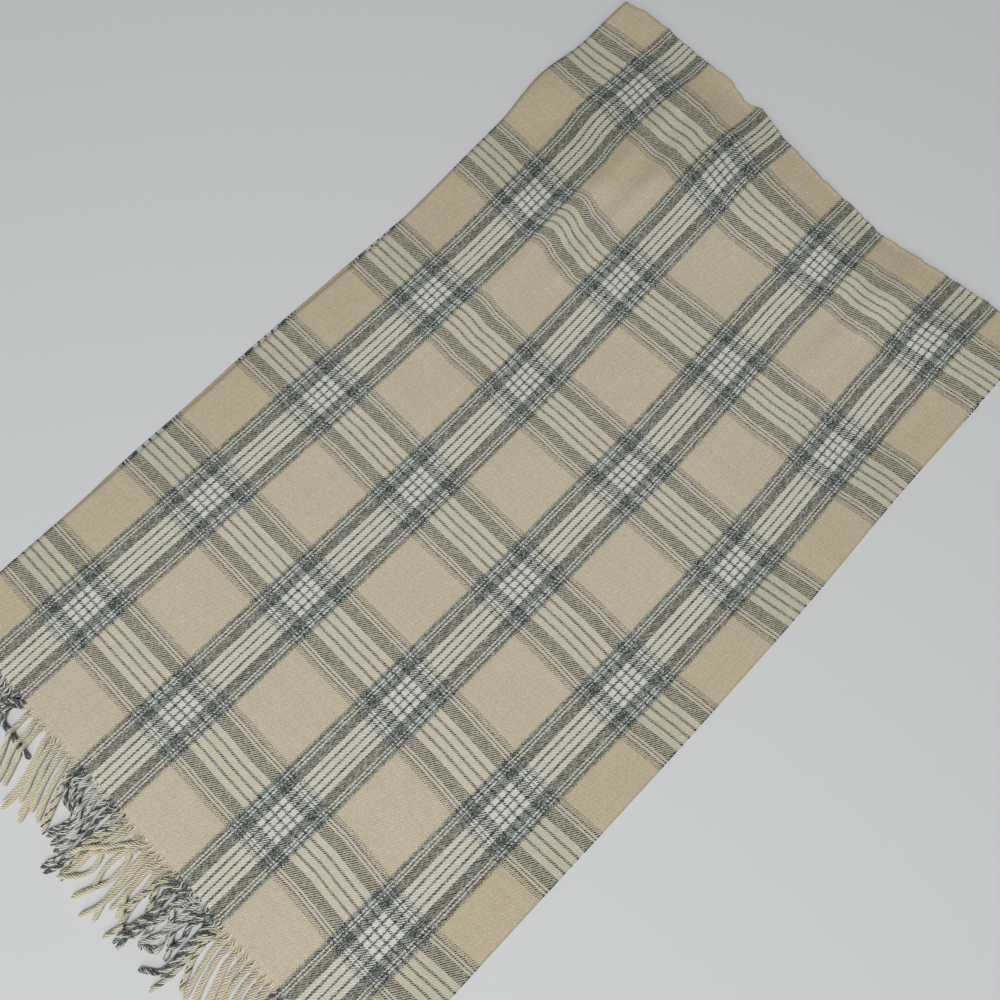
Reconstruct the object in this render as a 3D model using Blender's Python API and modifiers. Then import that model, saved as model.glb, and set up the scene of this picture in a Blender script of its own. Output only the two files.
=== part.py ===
"""Plaid blanket scarf, folded once across its length and laid flat.

One woven sheet lies in two layers, the under layer flat on the surface and the upper layer on it. A soft
turn joins them at +X. Both cut ends lie at -X, where the warp leaves the cloth as twisted fringe.
+X runs along the scarf from the fringe to the fold, +Y across it and +Z up from the surface.
"""

import math

import bmesh
import bpy
import numpy as np

MM = 0.001
OBJECT_NAME = "blanket_scarf"

# Cloth wall, and the gap that lies between pieces.
WALL = 1.5 * MM
GAP = 0.3 * MM
UPPER_BASE = WALL + GAP

# Where the cut ends lie along the scarf. The under layer is laid slightly askew, so its end slants.
UPPER_HEM = -519 * MM
UNDER_HEM = -527 * MM
UNDER_HEM_SLANT = 0.0125

# The turn: the length of each layer that it takes in, and how far the upper layer takes to rise to it.
TURN_REACH = 25 * MM
TURN_RISE = 70 * MM
FOLD_X = 495 * MM

# Long edges of the laid cloth in plan, in millimetres: station along the scarf, the far (+Y) and near
# (-Y) edges of the upper layer, and how far the under layer shows beyond each (less than 0 is hidden).
LONG_EDGES = (
    # along, far, near, under_far, under_near
    (-535, 320, -310, 1.0, -2.0),
    (-440, 318, -309, 1.5, -2.0),
    (-360, 316, -309, 1.0, -2.5),
    (-280, 314, -308, 4.0, -2.5),
    (-200, 311, -308, 3.5, -2.5),
    (-120, 310, -308, 4.0, -2.0),
    (-40, 308, -307, 3.5, -2.0),
    (40, 306, -305, 4.0, -2.0),
    (110, 304, -304, 2.0, -2.0),
    (160, 307, -302, -2.0, -1.5),
    (210, 309, -300, -3.0, -1.0),
    (290, 312, -296, -4.0, 0.0),
    (320, 318, -295, -8.0, 1.0),
    (365, 321, -294, -9.0, 2.0),
    (400, 316, -293, -4.0, 2.0),
    (440, 311, -293, 0.0, 0.0),
    (462, 308, -293, 0.0, 0.0),
    (500, 315, -294, 0.0, 0.0),
)

# The folded edge, in millimetres: station across the scarf, how far along it the fold reaches and the
# height of the turn there.
FOLD_EDGE = (
    # across, along, height
    (-300, 500, 9.5),
    (-240, 495, 10.0),
    (-190, 489, 10.5),
    (-140, 484, 10.5),
    (-88, 479, 9.0),
    (-40, 484, 9.5),
    (20, 490, 11.0),
    (80, 498, 12.0),
    (118, 501, 9.5),
    (160, 509, 11.5),
    (240, 507, 11.0),
    (285, 508, 12.0),
    (320, 498, 13.0),
)

# Soft swells of the upper layer, in millimetres: the middle of each in plan, its half length, its half
# width and its height. The largest run lengthwise into the fold.
SWELLS = (
    # along, across, half_length, half_width, height
    (360, 300, 75, 45, 7.0),
    (370, 163, 200, 24, 6.0),
    (470, 128, 70, 22, 3.0),
    (120, 150, 70, 24, 2.5),
    (400, 20, 120, 48, 3.5),
    (370, -140, 190, 26, 5.0),
    (430, -225, 110, 34, 3.5),
)

# How finely the sheets are divided, along and across. Stations gather towards the fold.
UPPER_DIVISIONS = 28
UNDER_DIVISIONS = 10
ACROSS_DIVISIONS = 36
STATION_BIAS = 1.3
TURN_FLAT_DIVISIONS = 2
TURN_ROUND_DIVISIONS = 7

# Fringe. The warp is nine bands of yarn, and the strands of each band share one solid of their reach.
STRAND_DEPTH = 3.0 * MM
UPPER_REACH = 88 * MM
UNDER_REACH = 78 * MM
BAND_GAP = 2.0 * MM
TIP_WIDTH = 0.86
STRAND_STATIONS = (
    # share of the reach, and how far the upper strands have risen onto the under ones
    (0.0, 0.0),
    (0.012, 0.0),
    (0.04, 1.0),
    (0.3, 1.0),
    (0.65, 1.0),
    (1.0, 1.0),
)
FRINGE_ACROSS = 3
BANDS = (
    # name, near side and far side of the band as shares of the width, and sideways sweep at the tips, mm
    ("beige_1", 0.0, 0.079, -10),
    ("marled_1", 0.079, 0.193, -12),
    ("beige_2", 0.193, 0.319, -14),
    ("marled_2", 0.319, 0.433, -9),
    ("beige_3", 0.433, 0.559, -8),
    ("marled_3", 0.559, 0.673, -14),
    ("beige_4", 0.673, 0.799, -20),
    ("marled_4", 0.799, 0.913, -18),
    ("beige_5", 0.913, 1.0, -14),
)

# Colours, roughness: the plaid's average, and the two kinds of strand.
PLAID_COLOUR = (0.36, 0.33, 0.25)
BEIGE_COLOUR = (0.49, 0.41, 0.27)
MARLED_COLOUR = (0.20, 0.20, 0.18)
WOOL_ROUGHNESS = 0.9


def clear_scene():
    for old in list(bpy.data.objects):
        bpy.data.objects.remove(old, do_unlink=True)


def curve_through(table, column):
    """A smooth curve through one column of a table, whose first column is the station. Both are in mm."""
    stations = np.array([row[0] for row in table]) * MM
    values = np.array([row[column] for row in table]) * MM
    slopes = np.gradient(values, stations)

    def value_at(station):
        station = min(max(station, stations[0]), stations[-1])
        right = min(max(int(np.searchsorted(stations, station)), 1), len(stations) - 1)
        left = right - 1
        span = stations[right] - stations[left]
        t = (station - stations[left]) / span
        start = (1 + 2 * t) * (1 - t) ** 2 * values[left] + t * (1 - t) ** 2 * span * slopes[left]
        end = t * t * (3 - 2 * t) * values[right] - t * t * (1 - t) * span * slopes[right]
        return float(start + end)

    return value_at


FAR_EDGE = curve_through(LONG_EDGES, 1)
NEAR_EDGE = curve_through(LONG_EDGES, 2)
UNDER_FAR = curve_through(LONG_EDGES, 3)
UNDER_NEAR = curve_through(LONG_EDGES, 4)
FOLD_REACH = curve_through(FOLD_EDGE, 1)
FOLD_HEIGHT = curve_through(FOLD_EDGE, 2)


def ease(t):
    """0 below 0, 1 above 1, and a smooth rise between."""
    t = min(max(t, 0.0), 1.0)
    return t * t * (3 - 2 * t)


def bell(t):
    """1 at 0, falling smoothly to 0 at 1 and beyond."""
    return 0.5 * (1 + math.cos(math.pi * min(abs(t), 1.0)))


def upper_y(x, q):
    """Place across the upper layer, for a share q of its width from the near edge."""
    near = NEAR_EDGE(x)
    return near + (FAR_EDGE(x) - near) * q


def under_y(x, q):
    near = NEAR_EDGE(x) - UNDER_NEAR(x)
    far = FAR_EDGE(x) + UNDER_FAR(x)
    return near + (far - near) * q


def fold_edge(q):
    """The outermost point of the turn, in plan."""
    return FOLD_REACH(upper_y(FOLD_X, q))


def turn_start(q):
    return fold_edge(q) - TURN_REACH


def swell(x, y):
    """How far the swells lift the upper layer."""
    lift = 0.0
    for along, across, half_length, half_width, height in SWELLS:
        share = bell((x - along * MM) / (half_length * MM)) * bell((y - across * MM) / (half_width * MM))
        lift += height * MM * share
    return lift


def upper_underside(x, q):
    """Height of the upper layer's lower face."""
    y = upper_y(x, q)
    crown = FOLD_HEIGHT(y) - UPPER_BASE - WALL
    rise = ease((x - turn_start(q) + TURN_RISE) / TURN_RISE)
    return UPPER_BASE + crown * rise + swell(x, y)


def place_upper(p, q):
    share = 1 - (1 - p) ** STATION_BIAS
    x = UPPER_HEM + share * (turn_start(q) - GAP - UPPER_HEM)
    return (x, upper_y(x, q), upper_underside(x, q))


def place_under(p, q):
    hem = UNDER_HEM + UNDER_HEM_SLANT * under_y(UNDER_HEM, q)
    x = hem + p * (turn_start(q) - GAP - hem)
    return (x, under_y(x, q), 0.0)


def turn_section(q):
    """Outer face of the turn from the upper layer round to the under layer, as (x, z) points."""
    start = turn_start(q)
    top = upper_underside(start, q) + WALL
    radius = top / 2
    centre = fold_edge(q) - radius
    points = []
    for step in range(TURN_FLAT_DIVISIONS):
        share = step / TURN_FLAT_DIVISIONS
        points.append((start + share * (centre - start), top))
    for step in range(TURN_ROUND_DIVISIONS + 1):
        angle = math.pi * (0.5 - step / TURN_ROUND_DIVISIONS)
        points.append((centre + radius * math.cos(angle), radius + radius * math.sin(angle)))
    for step in range(1, TURN_FLAT_DIVISIONS + 1):
        share = step / TURN_FLAT_DIVISIONS
        points.append((centre + share * (start - centre), 0.0))
    return points


def place_turn(p, q):
    points = turn_section(q)
    x, z = points[round(p * (len(points) - 1))]
    return (x, upper_y(turn_start(q), q), z)


def place_fringe(root_x, reach, band_start, band_end, sweep, base, lifted, across):
    """A function that places the slab of one band's strands, swept sideways and drawn in at the tips."""

    def place(p, q):
        share, risen = STRAND_STATIONS[round(p * (len(STRAND_STATIONS) - 1))]
        x = root_x(band_start + q * (band_end - band_start)) - GAP - share * reach
        margin = BAND_GAP / 2
        low = across(UPPER_HEM, band_start) + margin
        high = across(UPPER_HEM, band_end) - margin
        width = (high - low) * (1 - (1 - TIP_WIDTH) * share)
        y = (low + high) / 2 + (q - 0.5) * width + sweep * MM * share * share
        z = base + (lifted - base) * risen
        return (x, y, z)

    return place


def material(name, colour):
    made = bpy.data.materials.new(name)
    made.use_nodes = True
    shader = made.node_tree.nodes["Principled BSDF"]
    shader.inputs["Base Color"].default_value = (*colour, 1.0)
    shader.inputs["Roughness"].default_value = WOOL_ROUGHNESS
    shader.inputs["Metallic"].default_value = 0.0
    return made


def add_wall(collection, name, divisions, place, depth, side, look):
    """A cloth wall: a grid laid out by place(p, q), given its depth to one side by Solidify."""
    mesh = bpy.data.meshes.new(name)
    shape = bmesh.new()
    bmesh.ops.create_grid(shape, x_segments=divisions[0], y_segments=divisions[1], size=0.5)
    for vert in shape.verts:
        vert.co = place(vert.co.x + 0.5, vert.co.y + 0.5)
    shape.to_mesh(mesh)
    shape.free()
    mesh.shade_smooth()
    mesh.materials.append(look)
    piece = bpy.data.objects.new(name, mesh)
    collection.objects.link(piece)
    solidify = piece.modifiers.new("wall", "SOLIDIFY")
    solidify.thickness = depth
    solidify.offset = side
    solidify.use_even_offset = True
    return piece


def build_cloth(collection):
    look = material("plaid_cloth", PLAID_COLOUR)
    turn_divisions = 2 * TURN_FLAT_DIVISIONS + TURN_ROUND_DIVISIONS
    return [
        add_wall(collection, "under_layer", (UNDER_DIVISIONS, ACROSS_DIVISIONS), place_under, WALL, 1, look),
        add_wall(collection, "upper_layer", (UPPER_DIVISIONS, ACROSS_DIVISIONS), place_upper, WALL, 1, look),
        add_wall(collection, "fold_turn", (turn_divisions, ACROSS_DIVISIONS), place_turn, WALL, -1, look),
    ]


def upper_root(_):
    return UPPER_HEM


def under_root(q):
    return UNDER_HEM + UNDER_HEM_SLANT * under_y(UNDER_HEM, q)


def build_fringe(collection):
    """Both ends' fringe, band by band. The grid of a slab runs towards -X, so its wall goes to side -1."""
    beige = material("beige_strand", BEIGE_COLOUR)
    marled = material("marled_strand", MARLED_COLOUR)
    divisions = (len(STRAND_STATIONS) - 1, FRINGE_ACROSS)
    lifted = STRAND_DEPTH + GAP
    pieces = []
    for name, start, end, sweep in BANDS:
        look = beige if name.startswith("beige") else marled
        under = place_fringe(under_root, UNDER_REACH, start, end, sweep, 0.0, 0.0, under_y)
        upper = place_fringe(upper_root, UPPER_REACH, start, end, sweep, UPPER_BASE, lifted, upper_y)
        for layer, place in (("under", under), ("upper", upper)):
            full_name = f"{layer}_fringe_{name}"
            pieces.append(add_wall(collection, full_name, divisions, place, STRAND_DEPTH, -1, look))
    return pieces


def centre_on_origin(pieces):
    """Moves everything so that the middle of its footprint is at the origin, resting at height 0."""
    bpy.context.view_layer.update()
    graph = bpy.context.evaluated_depsgraph_get()
    corners = []
    for piece in pieces:
        mesh = piece.evaluated_get(graph).to_mesh()
        corners.extend(tuple(vert.co) for vert in mesh.vertices)
        piece.evaluated_get(graph).to_mesh_clear()
    low = np.min(corners, axis=0)
    high = np.max(corners, axis=0)
    for piece in pieces:
        piece.location = (-(low[0] + high[0]) / 2, -(low[1] + high[1]) / 2, -low[2])


def main():
    clear_scene()
    collection = bpy.data.collections.new(OBJECT_NAME)
    bpy.context.scene.collection.children.link(collection)
    pieces = build_cloth(collection) + build_fringe(collection)
    centre_on_origin(pieces)


main()
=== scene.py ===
"""Looks of a plaid blanket scarf, folded once and laid flat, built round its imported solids.

The cloth is one sheet, from the cut end of the upper layer, round the fold, to the cut end of the under
layer. It is laid from its own measures: distance along the cloth (the picks) and across it (the ends).
Plan tables are in millimetres on the scarf's own axes: along it from the middle of the plaid, fold
positive, and across it from the middle between the second and third rows of checks.
"""

import math

import bpy
import numpy as np
from bpy.props import FloatProperty, FloatVectorProperty, PointerProperty
from mathutils import Matrix, Vector


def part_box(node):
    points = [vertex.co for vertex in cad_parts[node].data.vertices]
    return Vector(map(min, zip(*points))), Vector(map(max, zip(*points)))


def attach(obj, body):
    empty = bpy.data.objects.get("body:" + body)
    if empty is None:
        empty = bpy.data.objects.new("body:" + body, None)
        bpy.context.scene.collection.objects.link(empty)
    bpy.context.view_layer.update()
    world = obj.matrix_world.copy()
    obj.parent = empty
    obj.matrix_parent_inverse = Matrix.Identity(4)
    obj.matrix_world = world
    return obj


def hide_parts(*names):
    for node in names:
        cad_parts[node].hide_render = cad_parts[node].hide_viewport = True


bl_info = {
    "name": "Folded Blanket Scarf",
    "version": (1, 0, 0),
    "blender": (4, 5, 0),
    "location": "View3D > Sidebar > Scarf",
    "description": "Lays a plaid twill blanket scarf with twisted fringe on its packed solids",
    "category": "Add Mesh",
}

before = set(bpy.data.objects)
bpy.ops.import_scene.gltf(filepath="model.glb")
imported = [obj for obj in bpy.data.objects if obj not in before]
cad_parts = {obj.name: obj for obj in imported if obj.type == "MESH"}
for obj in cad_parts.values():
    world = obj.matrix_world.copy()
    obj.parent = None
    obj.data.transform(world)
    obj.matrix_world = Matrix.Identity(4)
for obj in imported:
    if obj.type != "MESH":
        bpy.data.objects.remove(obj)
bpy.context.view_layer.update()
MM = 0.001  # a millimetre in metres

# Where the plan tables lie in the frame: the upper layer's cut end and its farthest edge fix it.
UPPER_HEM = -519.0
FARTHEST_EDGE = 321.0
UPPER_LOW, UPPER_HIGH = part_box("upper_layer")
PLAN_SHIFT = np.array((UPPER_LOW.x / MM - UPPER_HEM, UPPER_HIGH.y / MM - FARTHEST_EDGE, 0.0))

# The cloth as cut, without its fringe, in metres.
CUT_WIDTH = 0.615
CUT_LENGTH = 2.027
FOLD_AT = CUT_LENGTH / 2
FAR_SELVEDGE = 310.0
NEAR_SELVEDGE = -305.0

# The plaid: the yarns from the middle of a stripe group outwards, each with the last thread that it
# takes, counted from the middle thread. Rows run along the scarf, columns across it.
ROW_PITCH = 148.0
COLUMN_PITCH = 165.0
FIRST_ROW = 74.0
FIRST_COLUMN = 106.0
COLUMN_COUNT = 6
ENDS_IN_REPEAT = 240
PICKS_IN_REPEAT = 172
END_PITCH = ROW_PITCH * MM / ENDS_IN_REPEAT
PICK_PITCH = COLUMN_PITCH * MM / PICKS_IN_REPEAT
WARP_CHART = (
    # yarn, last end
    ("charcoal", 1),
    ("ivory", 10),
    ("charcoal", 14),
    ("ivory", 22),
    ("charcoal", 38),
    ("ivory", 40),
    ("charcoal", 44),
    ("ivory", 46),
    ("charcoal", 52),
    ("beige", 53),
    ("charcoal", 54),
    ("beige", 120),
)
WEFT_CHART = (
    # yarn, last pick
    ("charcoal", 1),
    ("ivory", 8),
    ("charcoal", 11),
    ("ivory", 18),
    ("charcoal", 31),
    ("ivory", 33),
    ("charcoal", 35),
    ("ivory", 37),
    ("charcoal", 40),
    ("beige", 41),
    ("charcoal", 42),
    ("beige", 43),
    ("charcoal", 44),
    ("beige", 86),
)

# The heathered yarn: its light flecks, how long each is on a strand, in metres, and how rare bright ones are.
HEATHERED = "charcoal"
FLECK = (0.43, 0.46, 0.44)
FLECK_LENGTH = 0.0025
FLECK_RARITY = 2.2

# How the threads cover each other, in steps of one thread. A float takes half of the twill's repeat. A warp
# float shows over WARP_LEAD more on the face and less on the back, and over HEATHER_COVER more or less where
# only the warp or only the weft is heathered. At the selvedges, this many millimetres of the face and of the
# back are all weft.
TWILL_REPEAT = 4.0
FLOAT_STEPS = TWILL_REPEAT / 2
WARP_LEAD = 0.3
HEATHER_COVER = 0.7
SELVEDGE_WIDTHS = (1.2, 4.5)

# How far picks and ends stray from straight, in metres, in how fine a pattern and from which place in it.
PICK_WANDER = 0.0006
END_WANDER = 0.0003
WANDER_SCALE = 40.0
WANDER_DETAIL = 2.0
PICK_WANDER_SEED = 1.0
END_WANDER_SEED = 7.0

# Shades of the cloth. A tone is its least and how much a value from 0 to 1 adds to that. The sunk weft's
# darkness and the tone by thread height are painted shade, darkest on the sunk weft and in the gaps between
# threads.
FLOAT_ROUNDING = 0.6
SUNK_WEFT_SHADE = 0.80
HEIGHT_SHADE_TONE = (0.58, 0.56)
FLOAT_TONE = (0.90, 0.20)
THREAD_TONE = (0.95, 0.05)
FUZZ_TONE = (0.82, 0.36)
FUZZ_SCALE = 1500.0
CLOUDY_TONE = (0.96, 0.08)
CLOUDY_SCALE = 14.0
NOISE_DETAIL = 3.0
CLOTH_RELIEF = 0.5

# Far numbers keep the picks' draws apart from the ends' draws.
PICK_FLOATS_FROM = 500.5
PICK_TONES_FROM = 4000.5

# The cloth is a little darker near the fold and the long edges. Near the fold this darkening is painted
# shade, warmer on the ground. The ground and the stripes have a tint each, and the saturation of the yarns
# tells them apart. Near the fold the tint fades in between two distances from it, which grow by as much as a
# place lies past the lean, a set distance across. Near the long edges it fades in between two distances from
# the middle, and is weaker there. All of these distances are in metres.
GROUND_TINT = (0.91, 0.88, 0.82)
STRIPE_TINT = (0.88, 0.885, 0.86)
GROUND_SATURATION = (0.2, 0.3)
SHADE_FROM_FOLD = (0.085, 0.05)
FOLD_SHADE_LEAN = 0.05
TINT_FROM_MIDDLE = (0.236, 0.262)
TINT_AT_EDGES = 0.75

# The turn itself is a little lighter, a painted highlight which fades in between these distances from its
# middle, in metres.
FOLD_HIGHLIGHT = (0.010, 0.006)
FOLD_HIGHLIGHT_TINT = (1.10, 1.095, 1.08)

# Shades of the strands: what the yarns' colours are multiplied by, and their tones. The round ends' tone and
# the grooves' tone are painted shade, darker at the sides of the ends and between the yarns.
STRAND_TINTS = {
    "beige": (0.945, 0.965, 0.965),
    "ivory": (0.76, 0.74, 0.76),
    "charcoal": (1.0, 1.0, 1.0),
}
STRAND_ROUND_SHADE = (0.74, 0.28)
STRAND_THREAD_TONE = (0.95, 0.10)
STRAND_FUZZ_TONE = (0.75, 0.5)
STRAND_GROOVE_SHADE = (0.81, 0.50)
STRAND_RELIEF = 0.4
STRAND_SHEEN = 0.22

# The finish of dull wool.
WOOL_ROUGHNESS = 0.95
WOOL_SPECULAR = 0.12
WOOL_SHEEN = 0.06
WOOL_SHEEN_ROUGHNESS = 0.6

# How the rows of checks wander as the cloth lies, in plan.
ROW_LINES = (
    # along, far edge, row 1, row 2, row 3, row 4, near edge
    (-520, 319.5, 230.5, 79, -72, -219, -310),
    (-412, 317.5, 227.5, 76, -74.5, -222, -308.5),
    (-300, 314.5, 224, 73.5, -76.5, -223.5, -308),
    (-190, 312.5, 220.5, 71.5, -78, -225, -308),
    (-80, 311, 217.5, 70, -79, -226.5, -307.5),
    (25, 307, 215.5, 70.5, -78.5, -226, -306),
    (80, 305.5, 215.5, 71, -79, -225, -305),
    (160, 307, 215.5, 74, -77, -222.5, -302),
    (240, 311, 218, 77.5, -73, -218, -298),
    (300, 314, 220.5, 80, -70, -214.5, -296),
    (330, 318, 222, 81, -68.5, -212.5, -295),
    (360, 321, 226.5, 82.5, -68.5, -212, -294),
    (420, 314, 225, 86, -66.5, -208, -293),
    (480, 313, 219.5, 81, -65.5, -208, -293),
)
ROW_PLACES = (
    FAR_SELVEDGE,
    FIRST_ROW + ROW_PITCH,
    FIRST_ROW,
    FIRST_ROW - ROW_PITCH,
    FIRST_ROW - 2 * ROW_PITCH,
    NEAR_SELVEDGE,
)

# How the columns of checks and the fold wander, in plan.
COLUMN_LINES = (
    # across, column 1, 2, 3, 4, 5, 6, fold's outer edge
    (312, -414, -248.5, -83.5, 80, 247.5, 418, 500),
    (285, -414, -247.5, -83, 80, 247.5, 418, 507),
    (258, -414, -247, -83, 80, 245.5, 421, 508.5),
    (233, -414.5, -247, -83, 80, 244, 423.5, 508),
    (212, -415, -247, -83, 80, 241.5, 421, 508),
    (197, -415, -247, -83, 80.5, 241.5, 418.5, 508),
    (182, -414.5, -247, -83, 82, 248, 416.5, 508),
    (167, -414.5, -247, -82.5, 81.5, 247, 415, 509.5),
    (152, -414.5, -247, -83, 80, 242, 416.5, 509),
    (136, -414.5, -247, -83, 81, 239.5, 417.5, 504.5),
    (120, -414.5, -247, -83.5, 81, 236.5, 416.5, 501),
    (104, -414.5, -247, -83.5, 81, 237.5, 416, 505.5),
    (86, -414.5, -247.5, -83.5, 79.5, 238.5, 414, 503),
    (66, -414, -247, -83.5, 79, 238, 409.5, 496.5),
    (40, -414, -247, -83, 79, 238.5, 405, 492),
    (20, -414, -247, -83, 80, 239.5, 402, 489.5),
    (-5, -415, -247, -82.5, 80, 241, 402.5, 486.5),
    (-35, -414.5, -246.5, -82.5, 81, 242, 403.5, 484.5),
    (-70, -415, -246.5, -81.5, 82, 244.5, 403.5, 482.5),
    (-100, -415, -246.5, -81, 83.5, 245.5, 405.5, 479),
    (-120, -414.5, -246, -80.5, 84, 246.5, 408, 481),
    (-136, -414, -246, -80, 84.5, 246.5, 406.5, 483),
    (-151, -415, -246.5, -80, 85, 248, 407.5, 484.5),
    (-167, -416, -247, -80.5, 85.5, 250, 412, 486.5),
    (-183, -417, -247.5, -81, 86, 250.5, 412.5, 489),
    (-212, -419, -248, -81, 86.5, 250.5, 414, 492),
    (-240, -419, -248.5, -80.5, 87.5, 253, 416.5, 494.5),
    (-260, -418, -247, -79, 90, 255.5, 418.5, 496),
    (-280, -416, -245.5, -76.5, 93, 259, 422, 498),
    (-305, -414, -244, -74, 96.5, 261, 425, 500),
)

# The turn at the fold: how much cloth goes round it, where it starts short of the outer edge, how far the
# upper layer climbs to it, the small ripples of its edge and its height.
TURN_CLOTH = 20.0
TURN_REACH = 8.0
TURN_RISE = 130.0
FOLD_RIPPLES = (
    # pitch, reach, phase
    (31.0, 0.55, 0.4),
    (17.0, 0.45, 2.1),
    (9.5, 0.3, 4.0),
)
FOLD_HEIGHTS = (
    # across, height
    (-305, 9.5),
    (-240, 10.0),
    (-190, 10.5),
    (-140, 10.5),
    (-88, 9.0),
    (-40, 9.5),
    (20, 11.0),
    (80, 12.0),
    (118, 9.5),
    (160, 11.5),
    (240, 11.0),
    (285, 12.0),
    (312, 13.0),
)

# The under layer: how far it shows past the upper one's long edges, and its cut end, which slants.
UNDER_HEM = -527.0
UNDER_HEM_SLANT = 0.0125
UNDER_EDGES = (
    # along, past the far edge, past the near edge
    (-535, 1.0, -2.0),
    (-440, 1.5, -2.0),
    (-360, 1.0, -2.5),
    (-280, 4.0, -2.5),
    (-200, 3.5, -2.5),
    (-120, 4.0, -2.0),
    (-40, 3.5, -2.0),
    (40, 4.0, -2.0),
    (110, 2.0, -2.0),
    (160, -2.0, -1.5),
    (210, -3.0, -1.0),
    (290, -4.0, 0.0),
    (320, -8.0, 1.0),
    (365, -9.0, 2.0),
    (400, -4.0, 2.0),
    (440, 0.0, 0.0),
    (500, 0.0, 0.0),
)

# Creases and swells of the upper layer, in plan. A negative height is a trough.
CREASES = (
    # along, across, half length, half width, height, turned by degrees
    (360, 300, 80, 45, 6.0, 0),
    (350, 174, 190, 18, 5.0, 2),
    (526, 301, 28, 8, 3.4, 0),
    (345, 136, 150, 15, 3.6, 3),
    (300, 156, 110, 8, -1.1, 3),
    (318, 147, 50, 5, -1.1, -3),
    (335, 160, 45, 4, -0.9, 6),
    (448, 150, 52, 62, 3.2, 0),
    (150, 172, 90, 13, 1.8, 3),
    (210, 130, 60, 14, 2.2, -8),
    (400, 22, 125, 44, 2.5, 0),
    (370, -140, 195, 24, 3.8, -2),
    (320, -163, 70, 6, -1.2, 2),
    (338, -146, 60, 5, -1.1, -3),
    (430, -225, 115, 34, 3.0, 0),
    (490, 150, 46, 160, -4.8, 0),
    (488, -100, 44, 200, -3.9, 0),
    (330, 268, 70, 14, -1.4, 0),
    (335, -262, 70, 18, -1.0, 0),
)

# The cloth's grid: rows of it on each layer and round the turn, and columns across.
UPPER_ROWS = 200
TURN_ROWS = 16
UNDER_ROWS = 84
ACROSS_COLUMNS = 123

# Fringe, in millimetres. A strand is four yarns twisted together, each with the angle that it starts from.
# Its yarns take their colours from ends of the warp that reach into its neighbours' share.
STRAND_PITCH = 8.8
YARN_RADIUS = 1.05
TWIST_RADIUS = 1.4
TWIST_PITCH = 13.2
YARN_STARTS = (math.pi, math.pi / 2, 3 * math.pi / 2, 0.0)
NEIGHBOUR_SHARE = 1.3
YARN_SIDES = 5
RING_STEP = 1.3
FEWEST_RINGS = 8

# A strand's root starts inside the cloth and goes straight out of it. Over its length the yarns, flat and
# side by side, gather and round out, and the twist starts at a share of it. The twist stays wider for longer.
ROOT_INSIDE = 1.0
ROOT_STRAIGHT = 2.0
ROOT_LENGTH = 9.5
ROOT_DEPTH = 0.62
TWIST_STARTS = 0.5
LOOSE_LENGTH = 32.0
LOOSE_TWIST = 0.45

# A strand's tip: its yarns thin as the square root of how far the tip is, as a share of TIP_LENGTH that
# counts as TIP_LEAST or more. This share of the twist closes with them.
TIP_LENGTH = 2.5
TIP_LEAST = 0.12
TIP_CLOSING = 0.4

# How strands lie on each other: nearer than TOUCH strand radii they climb, by NESTLE of what hard ones
# would. Their heights are evened out in passes, with a little sag at each.
TOUCH = 1.6
NESTLE = 0.55
HIGHEST_STRAND = 9.0
FLOOR_GAP = 0.06
EVENING_PASSES = 6
EVENING_SAG = 0.02

# The under layer's strands stray less to the side than the upper ones.
UNDER_SWAY = 0.8

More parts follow.
